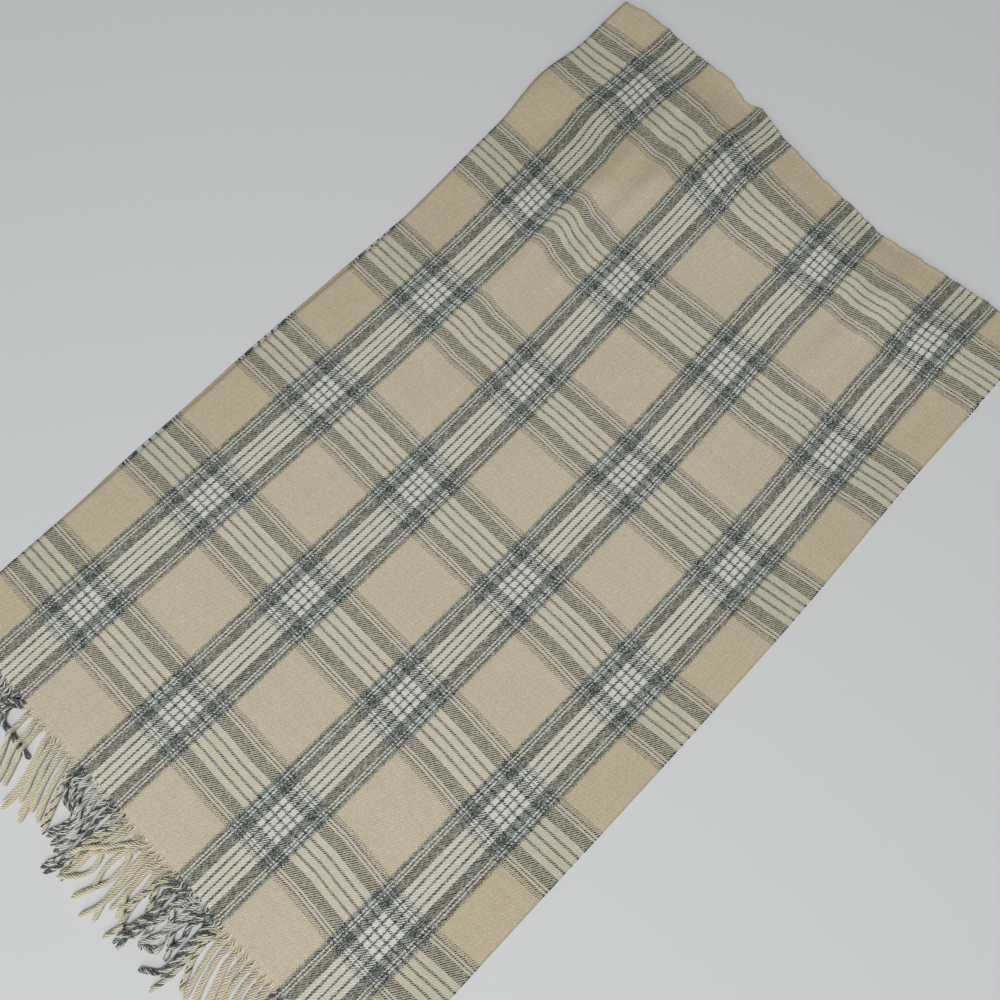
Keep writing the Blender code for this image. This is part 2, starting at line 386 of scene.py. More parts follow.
# Strands laid one by one.
STRAND_ROUTES = (
    # where it leaves the cloth, across, and then points of its way: how far out from the cut end, and across
    (251, (30, 247), (60, 242), (84, 240)),
    (242, (30, 239), (60, 236), (88, 235)),
    (234, (30, 228), (60, 222), (80, 220)),
    (225, (30, 216), (60, 210), (86, 208)),
    (216, (20, 212), (45, 205), (78, 201)),
    (208, (20, 206), (45, 201), (85, 196)),
    (202, (18, 203), (29, 197), (31, 180), (33, 165), (34, 149)),
    (195, (6, 202), (14, 210), (30, 214), (60, 213), (82, 215)),
    (184, (16, 184), (36, 180), (51, 172), (66, 165), (80, 160)),
    (174, (21, 170), (41, 167), (56, 160), (72, 154)),
    (165, (21, 163), (41, 158), (56, 152), (69, 147)),
    (153, (11, 151), (21, 147), (36, 141), (56, 134), (71, 131), (85, 132)),
    (145, (21, 141), (41, 134), (56, 127), (68, 124)),
    (137, (21, 134), (41, 125), (61, 116), (81, 109)),
    (129, (21, 126), (41, 119), (61, 110), (67, 108)),
    (121, (21, 116), (41, 109), (56, 102), (68, 96)),
    (113, (21, 107), (41, 98), (56, 91), (71, 84)),
    (105, (11, 107), (21, 104), (30, 96), (34, 84), (33, 74), (38, 68), (52, 69), (71, 70)),
    (97, (14, 98), (25, 90), (30, 78), (37, 69), (53, 71), (69, 79)),
    (89, (16, 88), (27, 79), (35, 69), (45, 66), (60, 62), (73, 63)),
    (80, (15, 79), (27, 74), (38, 66), (56, 60), (72, 57)),
    (72, (16, 71), (31, 65), (51, 59), (69, 56)),
    (63, (21, 63), (41, 57), (61, 56), (75, 54), (92, 61)),
    (54, (21, 55), (41, 51), (61, 48), (79, 49), (93, 55)),
    (46, (21, 45), (41, 47), (61, 46), (76, 43), (85, 37)),
    (37, (16, 38), (31, 42), (46, 46), (64, 47)),
    (31, (21, 32), (36, 35), (51, 37), (66, 37), (79, 39)),
    (25, (16, 27), (31, 28), (39, 28), (49, 24), (59, 23), (69, 27), (78, 36), (83, 42)),
    (15, (16, 13), (36, 15), (49, 15), (59, 12), (68, 9), (77, 13), (88, 18)),
    (8, (11, 12), (21, 20), (31, 28), (41, 38), (53, 47), (66, 50)),
    (5, (16, 9), (29, 4), (41, 3), (53, 3), (63, 7), (72, 11)),
    (-2, (21, -3), (41, -4), (56, -6), (71, -9), (88, -14)),
    (-9, (16, -7), (36, -8), (56, -9), (71, -8), (81, -5), (94, 0)),
    (-14, (21, -12), (41, -15), (52, -21), (66, -33), (74, -43), (84, -51)),
    (-20, (16, -16), (31, -17), (46, -18), (61, -18), (69, -17)),
    (-26, (16, -25), (36, -28), (51, -27), (59, -25), (69, -28)),
    (-33, (11, -33), (26, -31), (41, -30), (56, -32), (71, -36), (90, -32)),
    (-38, (16, -34), (29, -38), (39, -44), (47, -48), (62, -52)),
    (-44, (16, -43), (31, -47), (41, -49), (56, -45), (71, -42), (85, -43)),
    (-50, (16, -48), (31, -50), (43, -53), (59, -51), (73, -47), (86, -49)),
    (-56, (26, -57), (41, -56), (56, -52), (71, -51)),
    (-63, (14, -60), (31, -60), (43, -58), (56, -59), (67, -62), (66, -72), (59, -79)),
    (-69, (11, -62), (21, -60), (31, -67), (46, -70), (56, -66), (66, -62)),
    (-75, (16, -72), (31, -72), (43, -72), (53, -77), (62, -80)),
    (-81, (16, -78), (31, -76), (41, -78), (48, -84), (61, -91)),
    (-88, (11, -85), (21, -83), (31, -87), (41, -88), (49, -85)),
    (-94, (21, -95), (41, -95), (61, -96), (73, -93), (80, -84), (84, -78)),
    (-99, (21, -98), (46, -99), (73, -99)),
    (-104, (21, -101), (41, -103), (61, -105), (76, -103), (89, -100)),
    (-109, (11, -105), (26, -106), (41, -109), (56, -116), (69, -122)),
    (-117, (16, -115), (31, -118), (51, -123), (71, -130)),
    (-125, (16, -124), (36, -128), (56, -135), (73, -143)),
    (-134, (16, -134), (36, -141), (56, -149), (71, -156)),
    (-143, (16, -144), (41, -152), (66, -163)),
)

# Strands laid by a formula, evenly between two places across.
LOCKS = (
    # high, low, sweep at the tips, reach
    (316.0, 256.0, -10.0, 82.0),
    (-147.0, -190.0, -17.0, 80.0),
    (-190.0, -245.0, -9.0, 84.0),
    (-245.0, -308.0, -5.0, 79.0),
)
LOCK_BENDS = (
    # share of the reach, of the lean and of the bow
    (0.3, 0.15, 1.0),
    (0.65, 0.5, 1.4),
)

# Waves much finer than the strands' pitch make each strand differ: radians for each millimetre across, and
# how far the wave goes. It is millimetres of a tip's reach, a share of the sweep, millimetres of a bow to
# the side, and turns of any strand's twist.
TIP_WAVE = (12.9, 7.0)
LEAN_WAVE = (5.3, 0.5)
BOW_WAVE = (3.1, 2.5)
TWIST_WAVE = (7.7, 1.0)

# The bands of the warp, each of which has its own fringe solids.
BANDS = (
    # name, near and far side of the band across
    ("beige_1", -400.0, -257.0),
    ("marled_1", -257.0, -187.0),
    ("beige_2", -187.0, -109.5),
    ("marled_2", -109.5, -39.0),
    ("beige_3", -39.0, 39.0),
    ("marled_3", 39.0, 109.0),
    ("beige_4", 109.0, 187.5),
    ("marled_4", 187.5, 257.0),
    ("beige_5", 257.0, 400.0),
)

# The camera, in metres from the middle of the plaid. Its lens and sensor are in millimetres.
CAMERA_PLACE = (-0.186, -0.183, 1.030)
CAMERA_RIGHT = (0.7017, -0.7122, -0.0208)
CAMERA_LOOK = (0.1455, 0.1719, -0.9743)
LENS = 36.0
SENSOR = 36.0

# The lights, which are turned to the frame's origin, and the floor, in metres. The angle is in radians.
DAYLIGHT = (0.97, 0.985, 1.0)
ROOM_STRENGTH = 0.18
WINDOW_PLACE = (-1.09, -0.63, 2.96)
WINDOW_SIZE = (1.5, 1.1)
WINDOW_POWER = 64.0
LOW_SKY_PLACE = (-2.2, -1.4, 2.0)
LOW_SKY_STRENGTH = 0.62
LOW_SKY_ANGLE = 0.6
FLOOR_SIZE = 12.0
FLOOR_ROUGHNESS = 0.8
FLOOR_SPECULAR = 0.2

# A mix node's colour sockets: its two colours, and its result.
FIRST_COLOUR = 6
SECOND_COLOUR = 7
MIXED_COLOUR = 2


class ScarfSizes(bpy.types.PropertyGroup):
    """Sizes that a user would change"""

    cloth_thickness: FloatProperty(
        name="Cloth thickness",
        description="Thickness of the twill",
        default=0.0015,
        unit="LENGTH",
    )
    thread_depth: FloatProperty(
        name="Thread depth",
        description="How far the threads stand up from the weave",
        default=0.00035,
        unit="LENGTH",
    )
    under_share: FloatProperty(
        name="Under fringe share",
        description="Length of the under layer's strands as a share of the upper ones",
        default=0.86,
        subtype="FACTOR",
    )


class ScarfColours(bpy.types.PropertyGroup):
    """Colours of the yarns and of the stage"""

    beige: FloatVectorProperty(
        name="Beige yarn",
        description="Ground yarn of the plaid",
        default=(0.757, 0.678, 0.503),
        subtype="COLOR",
        size=3,
    )
    ivory: FloatVectorProperty(
        name="Ivory yarn",
        description="Light yarn of the stripes",
        default=(0.875, 0.887, 0.780),
        subtype="COLOR",
        size=3,
    )
    charcoal: FloatVectorProperty(
        name="Charcoal yarn",
        description="Dark yarn of the stripes",
        default=(0.048, 0.056, 0.052),
        subtype="COLOR",
        size=3,
    )
    floor: FloatVectorProperty(
        name="Floor",
        description="Plain surface that the scarf lies on",
        default=(0.665, 0.672, 0.675),
        subtype="COLOR",
        size=3,
    )


# ---- curves and tables ----


def curve_at(stations, values, where):
    """A smooth curve through values at stations, read at an array of places.

    The stations rise. values holds one column, or a column for each place that is read.
    """
    stations = np.asarray(stations, float)
    values = np.asarray(values, float)
    slopes = np.gradient(values, stations, axis=0)
    where = np.clip(where, stations[0], stations[-1])
    high = np.clip(np.searchsorted(stations, where), 1, len(stations) - 1)
    low = high - 1
    span = stations[high] - stations[low]
    t = (where - stations[low]) / span
    if values.ndim == 1:
        v0, v1, s0, s1 = values[low], values[high], slopes[low], slopes[high]
    else:
        each = np.arange(len(where))
        v0, v1, s0, s1 = values[low, each], values[high, each], slopes[low, each], slopes[high, each]
    start = (1 + 2 * t) * (1 - t) ** 2 * v0 + t * (1 - t) ** 2 * span * s0
    end = t * t * (3 - 2 * t) * v1 - t * t * (1 - t) * span * s1
    return start + end


def columns_of(table):
    """A table's columns as arrays, with its rows in rising order of the first one."""
    rows = np.array(sorted(table), float)
    return rows[:, 0], rows[:, 1:].T


def ease(t):
    """A smooth step from 0 at 0 to 1 at 1."""
    t = np.clip(t, 0.0, 1.0)
    return t * t * (3 - 2 * t)


def bell(t):
    """A smooth hump, 1 at 0 and 0 from 1 on, either way."""
    return 0.5 * (1 + np.cos(np.pi * np.clip(np.abs(t), 0.0, 1.0)))


# ---- the lie of the cloth ----


def crease_height(x, y):
    """How far the creases lift the upper layer at places in plan."""
    height = np.zeros_like(x)
    for along, across, half_length, half_width, lift, turned in CREASES:
        angle = math.radians(turned)
        dx = x - along
        dy = y - across
        u = (dx * math.cos(angle) + dy * math.sin(angle)) / half_length
        w = (dy * math.cos(angle) - dx * math.sin(angle)) / half_width
        height += lift * bell(u) * bell(w)
    return height


def row_place(x, across):
    """Plan place across the scarf, for a distance across the cloth."""
    stations, lines = columns_of(ROW_LINES)
    across_lines = np.array([curve_at(stations, line, x) for line in lines])
    return curve_at(ROW_PLACES[::-1], across_lines[::-1], across)


def fold_shape(across, wall):
    """The turn at the fold, for places across the cloth.

    Returns its outer edge in plan, how high the upper layer climbs to it apart from creases, its radius, and
    where in plan it starts.
    """
    stations, columns = columns_of(COLUMN_LINES)
    edge = curve_at(stations, columns[-1], across)
    for pitch, reach, phase in FOLD_RIPPLES:
        edge = edge + reach * np.sin(2 * np.pi * across / pitch + phase)
    heights, tops = columns_of(FOLD_HEIGHTS)
    crown = curve_at(heights, tops[0], across) - wall / 2
    top = crown + crease_height(edge - TURN_REACH, row_place(edge - TURN_REACH, across))
    radius = (top - wall / 2) / 2
    turn_start = edge - radius - wall / 2 - (TURN_CLOTH - np.pi * radius) / 2
    return edge, crown, radius, turn_start


def lay_upper(along, across, wall):
    """Places of the upper layer's middle, for millimetres along the cloth from its cut end and across."""
    _, crown, _, turn_start = fold_shape(across, wall)
    stations, columns = columns_of(COLUMN_LINES)
    lines = [curve_at(stations, column, across) for column in columns[:-1]]
    lines = np.array([np.full_like(across, UPPER_HEM), *lines, turn_start])
    places = [FIRST_COLUMN + COLUMN_PITCH * i for i in range(COLUMN_COUNT)]
    places = [0.0, *places, FOLD_AT / MM - TURN_CLOTH / 2]
    x = curve_at(places, lines, along)
    y = row_place(x, across)
    base = UPPER_LOW.z / MM + wall / 2
    z = base + (crown - base) * ease(1 - (turn_start - x) / TURN_RISE) + crease_height(x, y)
    return np.stack((x, y, z), axis=1)


def lay_turn(along, across, wall):
    """Places round the fold, for millimetres past the middle of the cloth."""
    edge, _, radius, _ = fold_shape(across, wall)
    centre = edge - radius - wall / 2
    half_arc = np.pi * radius / 2
    angle = np.clip((along + half_arc) / radius, 0.0, np.pi)
    flat = np.maximum(np.abs(along) - half_arc, 0.0)
    x = centre - flat + radius * np.sin(angle)
    z = wall / 2 + radius + radius * np.cos(angle)
    return np.stack((x, row_place(edge - TURN_REACH, across), z), axis=1)


def lay_under(share, across, wall):
    """Places of the under layer, for a share of the way from the turn to its cut end."""
    edge, _, _, start = fold_shape(across, wall)
    end = UNDER_HEM + UNDER_HEM_SLANT * across
    x = start + (end - start) * share
    stations, past = columns_of(UNDER_EDGES)
    far = row_place(x, np.full_like(x, FAR_SELVEDGE)) + curve_at(stations, past[0], x)
    near = row_place(x, np.full_like(x, NEAR_SELVEDGE)) - curve_at(stations, past[1], x)
    straight = near + (far - near) * (across - NEAR_SELVEDGE) / (FAR_SELVEDGE - NEAR_SELVEDGE)
    at_fold = row_place(edge - TURN_REACH, across)
    hold = ease(1 - (start - x) / TURN_RISE)
    y = straight * (1 - hold) + at_fold * hold
    return np.stack((x, y, np.full_like(x, wall / 2)), axis=1)


def lay_cloth(along, across, wall):
    """Places in the frame, in metres, for metres along the whole cloth and millimetres across it."""
    turn_from = FOLD_AT / MM - TURN_CLOTH / 2
    turn_to = FOLD_AT / MM + TURN_CLOTH / 2
    along = along / MM
    places = np.zeros((len(along), 3))
    upper = along <= turn_from
    under = along > turn_to
    turn = ~(upper | under)
    places[upper] = lay_upper(along[upper], across[upper], wall)
    places[turn] = lay_turn(along[turn] - FOLD_AT / MM, across[turn], wall)
    share = (along[under] - turn_to) / (CUT_LENGTH / MM - turn_to)
    places[under] = lay_under(share, across[under], wall)
    return (places + PLAN_SHIFT) * MM


# ---- meshes ----


def deselect_all():
    """Leaves nothing selected, as an operator acts on all that is."""
    for chosen in bpy.context.selected_objects:
        chosen.select_set(False)


def write_uv(mesh, name, per_corner):
    """Writes a UV map from an array of one pair for each corner."""
    layer = mesh.uv_layers.get(name) or mesh.uv_layers.new(name=name)
    layer.data.foreach_set("uv", np.asarray(per_corner, np.float32).ravel())


def finish_piece(piece, slot, *nodes):
    """Gives a piece its body and hides the CAD nodes that it replaces. Its slot is not used."""
    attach(piece, "root")
    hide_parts(*nodes)


def grid_measures(mesh, rows):
    """How far each point of a unit grid is along the cloth, in metres, and across it, in millimetres."""
    flat = np.zeros(len(mesh.vertices) * 3, np.float32)
    mesh.vertices.foreach_get("co", flat)
    flat = flat.reshape(-1, 3)
    row = np.round((flat[:, 0] + 0.5) * rows)
    share = flat[:, 1] + 0.5
    half_turn = TURN_CLOTH * MM / 2
    breaks = (0, UPPER_ROWS, UPPER_ROWS + TURN_ROWS, rows)
    along = np.interp(row, breaks, (0.0, FOLD_AT - half_turn, FOLD_AT + half_turn, CUT_LENGTH))
    return along, NEAR_SELVEDGE + (FAR_SELVEDGE - NEAR_SELVEDGE) * share


def make_cloth(sizes):
    """The folded sheet, as a grid laid by lay_cloth, with the weave's own measures as its UV map."""
    deselect_all()
    rows = UPPER_ROWS + TURN_ROWS + UNDER_ROWS
    bpy.ops.mesh.primitive_grid_add(
        x_subdivisions=rows, y_subdivisions=ACROSS_COLUMNS, size=1.0, calc_uvs=True
    )
    cloth = bpy.context.active_object
    cloth.name = "plaid_cloth"
    mesh = cloth.data
    mesh.name = "plaid_cloth"
    along, across = grid_measures(mesh, rows)
    places = lay_cloth(along, across, sizes.cloth_thickness / MM)
    mesh.vertices.foreach_set("co", places.astype(np.float32).ravel())
    corner = np.zeros(len(mesh.loops), np.int32)
    mesh.loops.foreach_get("vertex_index", corner)
    measures = np.stack((along, across * MM), axis=1)
    mesh.uv_layers[0].name = "weave"
    write_uv(mesh, "weave", measures[corner])
    mesh.shade_smooth()
    wall = cloth.modifiers.new("cloth wall", "SOLIDIFY")
    wall.thickness = sizes.cloth_thickness
    wall.offset = 0.0
    wall.use_even_offset = True
    wall.material_offset = 1
    return cloth


# ---- fringe ----


def wave_at(place, wave):
    """A steady unevenness: how far a wave goes at a place across."""
    rate, reach = wave
    return reach * math.sin(rate * place)


def plain_strands():
    """Strands of the locks, which leave the cloth evenly and sweep together to uneven tips."""
    strands = []
    for high, low, sweep, reach in LOCKS:
        count = max(2, round((high - low) / STRAND_PITCH))
        for i in range(count):
            root = high - (i + 0.5) * (high - low) / count
            tip = reach + wave_at(root, TIP_WAVE)
            lean = sweep * (1 + wave_at(root, LEAN_WAVE))
            bow = wave_at(root, BOW_WAVE)
            route = [(out * tip, root + aside * lean + bent * bow) for out, aside, bent in LOCK_BENDS]
            strands.append((root, *route, (tip, root + lean)))
    return strands


def strand_path(strand, hem, stretch, sway):
    """Points at even steps along one strand, in plan, as an array of (x, y)."""
    root, *route = strand
    points = [(ROOT_INSIDE, root), (-ROOT_STRAIGHT, root)]
    points += [(-out * stretch, root + (across - root) * sway) for out, across in route]
    points = np.array(points, float) + (hem, 0.0)
    steps = np.hypot(*np.diff(points, axis=0).T)
    stations = np.concatenate(([0.0], np.cumsum(steps)))
    fine = np.linspace(0.0, stations[-1], max(FEWEST_RINGS, round(stations[-1] / RING_STEP)))
    return np.stack([curve_at(stations, points[:, axis], fine) for axis in range(2)], axis=1)


def lay_strands(paths, root_height, placed):
    """Lays strands one after another, each resting on the floor or on those laid before it."""
    rest = YARN_RADIUS + TWIST_RADIUS
    touch = TOUCH * rest
    laid = []
    for path in paths:
        height = np.full(len(path), rest)
        if len(placed):
            gaps = np.hypot(path[:, None, 0] - placed[None, :, 0], path[:, None, 1] - placed[None, :, 1])
            over = NESTLE * np.sqrt(np.maximum(touch**2 - gaps**2, 0.0))
            support = np.where(gaps < touch, placed[None, :, 2] + over, rest)
            height = np.clip(support.max(axis=1), rest, HIGHEST_STRAND)
        for _ in range(EVENING_PASSES):
            evened = np.maximum(height[1:-1], (height[:-2] + height[2:]) / 2 - EVENING_SAG)
            height[1:-1] = np.maximum(height[1:-1], evened)
        distance = np.arange(len(path)) * RING_STEP
        height = root_height + (height - root_height) * ease((distance - ROOT_INSIDE) / ROOT_LENGTH)
        strand = np.column_stack((path, height))
        laid.append(strand)
        placed = np.vstack((placed, strand)) if len(placed) else strand
    return laid, placed


def yarn_rings(path, number, phase):
    """Rings of points round one yarn of a strand.

    Returns the rings as (rings, sides, 3), the distance of each along the strand, and how far each point
    faces away from the strand's middle.
    """
    tangent = np.gradient(path, axis=0)
    tangent /= np.linalg.norm(tangent, axis=1)[:, None]
    lateral = np.stack((-tangent[:, 1], tangent[:, 0], np.zeros(len(path))), axis=1)
    lateral /= np.linalg.norm(lateral, axis=1)[:, None]
    upward = np.cross(tangent, lateral)
    steps = np.linalg.norm(np.diff(path, axis=0), axis=1)
    distance = np.concatenate(([0.0], np.cumsum(steps)))
    gathered = ease(distance / ROOT_LENGTH)
    tip = np.sqrt(np.clip((distance[-1] - distance) / TIP_LENGTH, TIP_LEAST, 1.0))
    turns = np.maximum(distance - TWIST_STARTS * ROOT_LENGTH, 0.0) / TWIST_PITCH
    angle = YARN_STARTS[number] + 2 * np.pi * (turns + phase * gathered)
    yarns = len(YARN_STARTS)
    beside = (yarns / 2 - 0.5 - number) * STRAND_PITCH / yarns
    twist = TWIST_RADIUS + LOOSE_TWIST * ease(1 - distance / LOOSE_LENGTH)
    twist = twist * (1 - TIP_CLOSING + TIP_CLOSING * tip)
    aside = beside + (twist * np.cos(angle) - beside) * gathered
    wide = YARN_RADIUS * tip
    tall = (ROOT_DEPTH + (YARN_RADIUS - ROOT_DEPTH) * gathered) * tip
    centre = path + aside[:, None] * lateral + (twist * np.sin(angle) * gathered)[:, None] * upward
    around = 2 * np.pi * np.arange(YARN_SIDES) / YARN_SIDES
    rings = centre[:, None, :]
    rings = rings + (wide[:, None] * np.cos(around))[:, :, None] * lateral[:, None, :]
    rings = rings + (tall[:, None] * np.sin(around))[:, :, None] * upward[:, None, :]
    rings[:, :, 2] = np.maximum(rings[:, :, 2], FLOOR_GAP)
    outward = np.cos(around[None, :] - angle[:, None])
    return rings, distance, outward


def yarn_faces(count, first):
    """Faces of one yarn with so many rings, as point numbers from the first: its sides and two caps."""
    ring = np.arange(count - 1)[:, None] * YARN_SIDES
    side = np.arange(YARN_SIDES)[None, :]
    side_next = (side + 1) % YARN_SIDES
    ring_next = ring + YARN_SIDES
    quads = np.stack((ring + side, ring + side_next, ring_next + side_next, ring_next + side), axis=-1)
    faces = (quads.reshape(-1, 4)[:, ::-1] + first).tolist()
    cap = list(range(YARN_SIDES))
    faces.append([first + i for i in cap])
    faces.append([first + (count - 1) * YARN_SIDES + i for i in reversed(cap)])
    return faces


def yarn_measures(distance, low, width):
    """The yarn's own measures at each corner of yarn_faces.

    They are the place across the warp, from low over the yarn's width, and the distance along the strand.
    """
    side = np.arange(YARN_SIDES)[None, :]
    place = low + width * np.broadcast_to(side, (len(distance) - 1, YARN_SIDES)) / YARN_SIDES
    place_next = place + width / YARN_SIDES
    out = np.broadcast_to(distance[:-1, None], place.shape)
    out_next = np.broadcast_to(distance[1:, None], place.shape)
    across = np.stack((place, place_next, place_next, place), axis=-1)
    along = np.stack((out, out, out_next, out_next), axis=-1)
    sides = np.stack((across, along), axis=-1).reshape(-1, 4, 2)
    caps = [(low + width / 2, distance[0])] * YARN_SIDES
    caps += [(low + width / 2, distance[-1])] * YARN_SIDES
    return np.vstack((sides[:, ::-1].reshape(-1, 2), caps))


def strand_mesh(strands, roots, name):
    """One joined mesh of twisted strands. Its UV map holds each yarn's place across the warp."""
    points, faces, corners, facing = [], [], [], []
    yarns = len(YARN_STARTS)
    ends_each = STRAND_PITCH / yarns
    first = 0
    for path, root in zip(strands, roots):
        phase = wave_at(root, TWIST_WAVE)
        for number in range(yarns):
            rings, distance, outward = yarn_rings(path, number, phase)
            low = root + (number - yarns / 2) * ends_each * (1 + NEIGHBOUR_SHARE)
            points.append(rings.reshape(-1, 3))
            facing.append(outward.ravel())
            faces.extend(yarn_faces(len(rings), first))
            corners.append(yarn_measures(distance, low, ends_each))
            first += len(rings) * YARN_SIDES
    mesh = bpy.data.meshes.new(name)
    places = (np.vstack(points) + PLAN_SHIFT) * MM
    mesh.from_pydata(places.tolist(), [], faces)
    write_uv(mesh, "yarn", np.vstack(corners) * MM)
    outward = mesh.attributes.new("outward", "FLOAT", "POINT")
    outward.data.foreach_set("value", np.concatenate(facing).astype(np.float32))
    mesh.shade_smooth()
    piece = bpy.data.objects.new(name, mesh)
    bpy.context.scene.collection.objects.link(piece)
    return piece


def make_fringe(sizes):
    """Both layers' strands, the under ones laid first, as one piece for each band of each layer."""
    strands = sorted([*STRAND_ROUTES, *plain_strands()], reverse=True)
    roots = [strand[0] for strand in strands]
    wall = sizes.cloth_thickness / MM
    under_paths = []
    for strand in strands:
        hem = UNDER_HEM + UNDER_HEM_SLANT * strand[0]
        under_paths.append(strand_path(strand, hem, sizes.under_share, UNDER_SWAY))
    upper_paths = [strand_path(strand, UPPER_HEM, 1.0, 1.0) for strand in strands]
    under, placed = lay_strands(under_paths, wall / 2, np.zeros((0, 3)))
    upper, _ = lay_strands(upper_paths, UPPER_LOW.z / MM + wall / 2, placed)
    pieces = []
    for band, near, far in BANDS:
        chosen = [i for i, root in enumerate(roots) if near <= root < far]
        for layer, laid in (("under", under), ("upper", upper)):
            name = f"{layer}_fringe_{band}"
            piece = strand_mesh([laid[i] for i in chosen], [roots[i] for i in chosen], f"{name}_strands")
            slot = "beige_strand" if band.startswith("beige") else "marled_strand"
            finish_piece(piece, slot, name)
            pieces.append(piece)
    return pieces


# ---- materials ----


class Sketch:
    """Adds nodes to a material and joins them."""

    def __init__(self, name):
        self.material = bpy.data.materials.new(name)
        self.material.use_nodes = True
        self.tree = self.material.node_tree
        self.shader = self.tree.nodes["Principled BSDF"]

    def join(self, source, socket):
        """Feeds a socket from another one, or sets it to a constant."""
        if isinstance(source, bpy.types.NodeSocket):
            self.tree.links.new(source, socket)
        else:
            socket.default_value = source

    def node(self, kind, **settings):
        made = self.tree.nodes.new(kind)
        for key, value in settings.items():
            setattr(made, key, value)
        return made

    def math(self, operation, first, second=0.0, third=0.0):
        made = self.node("ShaderNodeMath", operation=operation)
        for source, socket in zip((first, second, third), made.inputs):
            self.join(source, socket)
        return made.outputs[0]

    def mix(self, share, first, second, blend="MIX"):
        made = self.node("ShaderNodeMix", data_type="RGBA", blend_type=blend)
        self.join(share, made.inputs[0])
        self.join(first, made.inputs[FIRST_COLOUR])
        self.join(second, made.inputs[SECOND_COLOUR])
        return made.outputs[MIXED_COLOUR]

    def tinted(self, share, colour, tint):
        """A colour multiplied by a tint where the share is 1, and left as it is where the share is 0."""
        return self.mix(share, colour, self.mix(1.0, colour, tint, "MULTIPLY"))

    def toned(self, value, tone):
        """A value from 0 to 1 turned into a tone: its least, and how much the value adds to that."""
        least, more = tone
        return self.math("MULTIPLY_ADD", value, more, least)

    def choice(self, share, first, second):
        """The first number where the share is 0, and the second where it is 1."""
        return self.math("MULTIPLY_ADD", share, self.math("SUBTRACT", second, first), first)

    def rise(self, value, low, high):
        """A smooth step from 0 at the low value to 1 at the high one."""
        made = self.node("ShaderNodeMapRange", interpolation_type="SMOOTHSTEP")
        for source, socket in zip((value, low, high, 0.0, 1.0), made.inputs):
            self.join(source, socket)
        return made.outputs[0]

    def saturation(self, colour):
        """How strong a colour is: 0 for a grey."""
        split = self.node("ShaderNodeSeparateColor", mode="HSV")
        self.join(colour, split.inputs[0])
        return split.outputs[1]

    def noise(self, scale, detail=NOISE_DETAIL, coordinates=None):
        """Soft noise in the cloth's own space, or at other coordinates."""
        made = self.node("ShaderNodeTexNoise")
        made.inputs["Scale"].default_value = scale
        made.inputs["Detail"].default_value = detail
        if coordinates is None:
            coordinates = self.node("ShaderNodeTexCoord").outputs["Object"]
        self.join(coordinates, made.inputs["Vector"])
        return made.outputs["Fac"]

    def uneven(self, thread):
        """A steady difference from thread to thread, 0 to 1."""
        made = self.node("ShaderNodeTexWhiteNoise", noise_dimensions="1D")
        self.join(thread, made.inputs["W"])
        return made.outputs["Value"]

    def measures(self, uv_name):
        """The two measures that a UV map holds, in metres."""
        uv = self.node("ShaderNodeUVMap", uv_map=uv_name)
        split = self.node("ShaderNodeSeparateXYZ")
        self.join(uv.outputs[0], split.inputs[0])
        return split.outputs[0], split.outputs[1]

    def wander(self, reach, seed):
        """How far the threads stray from straight, up to reach either way, in metres."""
        offset = self.node("ShaderNodeVectorMath", operation="ADD")
        self.join(self.node("ShaderNodeTexCoord").outputs["Object"], offset.inputs[0])
        offset.inputs[1].default_value = (seed, seed, seed)
        drift = self.noise(WANDER_SCALE, WANDER_DETAIL, offset.outputs[0])
        return self.math("MULTIPLY", self.math("SUBTRACT", drift, 0.5), 2.0 * reach)

    def threads(self, place, group, pitch):
        """A place in metres, counted in threads from the side of a stripe group's middle thread."""
        return self.math("DIVIDE", self.math("SUBTRACT", place, group * MM - pitch / 2), pitch)

    def round_thread(self, threads):
        """How high a round thread stands: 1 along its middle and 0 at its sides."""
        return self.math("SINE", self.math("MULTIPLY", self.math("FRACT", threads), math.pi))

    def float_height(self, run, threads):
        """How high a float stands: arched along its run, of which a share is given, and round across."""
        arch = self.math("SINE", self.math("MULTIPLY", run, math.pi))
        arch = self.math("POWER", self.math("ABSOLUTE", arch), FLOAT_ROUNDING)
        return self.math("MULTIPLY", arch, self.round_thread(threads))

    def chart(self, thread, repeat, chart, colours):
        """A thread's colour, and 1 where it is heathered, by its number from the middle of a stripe group."""
        half = repeat / 2
        folded = self.math("PINGPONG", thread, half)
        share = self.math("DIVIDE", folded, half)
        ramp = self.node("ShaderNodeValToRGB")
        ramp.color_ramp.interpolation = "CONSTANT"
        stops = ramp.color_ramp.elements
        start = 0.0
        for i, (yarn, last) in enumerate(chart):
            stop = stops[i] if i < 2 else stops.new(start)
            stop.position = start
            stop.color = (*colours[yarn], float(yarn == HEATHERED))
            start = (last + 0.5) / half
        self.join(share, ramp.inputs[0])
        return ramp.outputs[0], ramp.outputs[1]

    def flecked(self, colour, heather, across, along):
        """A yarn's colour with light flecks where it is heathered, and the float's own draw from 0 to 1."""
        place = self.node("ShaderNodeCombineXYZ")
        self.join(across, place.inputs[0])
        self.join(along, place.inputs[1])
        draw = self.node("ShaderNodeTexWhiteNoise", noise_dimensions="2D")
        self.join(place.outputs[0], draw.inputs["Vector"])
        bright = self.math("POWER", draw.outputs["Value"], FLECK_RARITY)
        fleck = self.math("MULTIPLY", bright, heather)
        return self.mix(fleck, colour, (*FLECK, 1.0)), draw.outputs["Value"]

    def relief(self, height, strength, depth):
        """Gives the surface a bump that is so deep."""
        bump = self.node("ShaderNodeBump")
        bump.inputs["Strength"].default_value = strength
        bump.inputs["Distance"].default_value = depth
        self.join(height, bump.inputs["Height"])
        self.join(bump.outputs[0], self.shader.inputs["Normal"])


